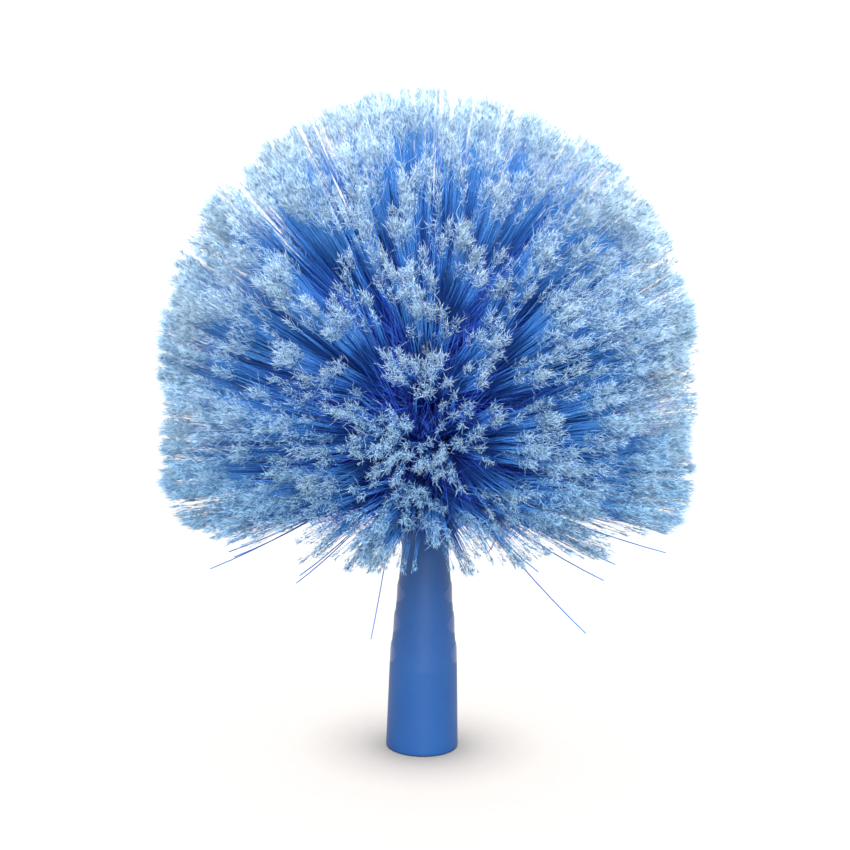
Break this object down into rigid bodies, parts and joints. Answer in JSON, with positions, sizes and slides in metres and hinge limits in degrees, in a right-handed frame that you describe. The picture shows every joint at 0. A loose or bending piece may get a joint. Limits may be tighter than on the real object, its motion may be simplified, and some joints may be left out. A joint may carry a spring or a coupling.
{
  "type": "dusting brush",
  "caption": "Round dusting brush head: a dome of flagged bristles on a moulded bulb, whose tapered socket takes a threaded or push-on pole.",
  "frame": {"origin": "middle of the socket's rim, on the surface that the brush stands on", "axes": "+Z along the socket's axis, from the rim up to the crown of the bristles; +X through one row of grip lugs; +Y away from the viewer of the picture"},
  "size_m": [0.1702, 0.1702, 0.213],
  "materials": {
    "socket_plastic": "satin moulded polypropylene, mid blue",
    "bristle_plastic": "crimp-free split-tip polystyrene filament, deep blue at the root and pale blue at the flagged tip",
    "anchor_steel": "bright drawn flat wire"
  },
  "bodies": {
    "root": {"pole_socket": "socket_plastic", "bristle_ring_lower": "bristle_plastic", "bristle_ring_middle": "bristle_plastic", "bristle_ring_upper": "bristle_plastic", "bristle_crown": "bristle_plastic", "wire_anchor_01": "anchor_steel", "wire_anchor_02": "anchor_steel", "wire_anchor_03": "anchor_steel", "wire_anchor_04": "anchor_steel", "wire_anchor_05": "anchor_steel", "wire_anchor_06": "anchor_steel", "wire_anchor_07": "anchor_steel", "wire_anchor_08": "anchor_steel", "wire_anchor_09": "anchor_steel", "wire_anchor_10": "anchor_steel", "wire_anchor_11": "anchor_steel", "wire_anchor_12": "anchor_steel", "wire_anchor_13": "anchor_steel", "wire_anchor_14": "anchor_steel", "wire_anchor_15": "anchor_steel", "wire_anchor_16": "anchor_steel", "wire_anchor_17": "anchor_steel", "wire_anchor_18": "anchor_steel", "wire_anchor_19": "anchor_steel", "wire_anchor_20": "anchor_steel", "wire_anchor_21": "anchor_steel", "wire_anchor_22": "anchor_steel", "wire_anchor_23": "anchor_steel", "wire_anchor_24": "anchor_steel", "wire_anchor_25": "anchor_steel", "wire_anchor_26": "anchor_steel", "wire_anchor_27": "anchor_steel", "wire_anchor_28": "anchor_steel", "wire_anchor_29": "anchor_steel", "wire_anchor_30": "anchor_steel", "wire_anchor_31": "anchor_steel", "wire_anchor_32": "anchor_steel", "wire_anchor_33": "anchor_steel", "wire_anchor_34": "anchor_steel", "wire_anchor_35": "anchor_steel", "wire_anchor_36": "anchor_steel", "wire_anchor_37": "anchor_steel", "wire_anchor_38": "anchor_steel", "wire_anchor_39": "anchor_steel", "wire_anchor_40": "anchor_steel", "wire_anchor_41": "anchor_steel", "wire_anchor_42": "anchor_steel", "wire_anchor_43": "anchor_steel", "wire_anchor_44": "anchor_steel", "wire_anchor_45": "anchor_steel", "wire_anchor_46": "anchor_steel", "wire_anchor_47": "anchor_steel", "wire_anchor_48": "anchor_steel", "wire_anchor_49": "anchor_steel", "wire_anchor_50": "anchor_steel", "wire_anchor_51": "anchor_steel", "wire_anchor_52": "anchor_steel", "wire_anchor_53": "anchor_steel"}
  },
  "joints": []
}
